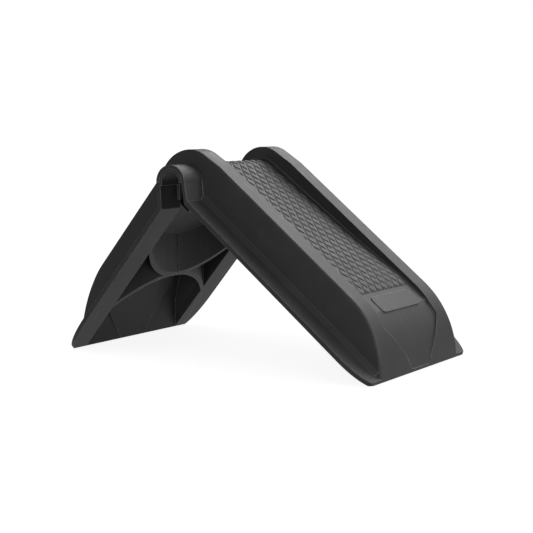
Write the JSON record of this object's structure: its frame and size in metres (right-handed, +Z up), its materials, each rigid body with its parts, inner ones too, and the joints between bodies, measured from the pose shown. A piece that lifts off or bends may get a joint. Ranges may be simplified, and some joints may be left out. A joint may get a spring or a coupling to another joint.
{
  "type": "folding wheel chock",
  "caption": "Folding wheel chock: a long ramp leg and a shorter prop leg in ribbed moulded plastic, hinged at the top.",
  "frame": {"origin": "centre of the footprint on the ground", "axes": "+Z up; +X towards the toe of the ramp leg; Y along the hinge rod"},
  "size_m": [0.3149, 0.19, 0.1838],
  "materials": {
    "body_plastic": "fine matte moulded",
    "rod_steel": "zinc plated"
  },
  "bodies": {
    "ramp": {"ramp_leg": "body_plastic", "hinge_rod": "rod_steel", "hinge_washers": "rod_steel", "push_nuts": "rod_steel"},
    "prop": {"prop_leg": "body_plastic"}
  },
  "joints": [
    {"name": "fold", "type": "hinge", "parent": "ramp", "child": "prop", "pos_m": [-0.0342, 0, 0.1563], "axis": [0, -1, 0], "range_deg": [0, 60]}
  ]
}
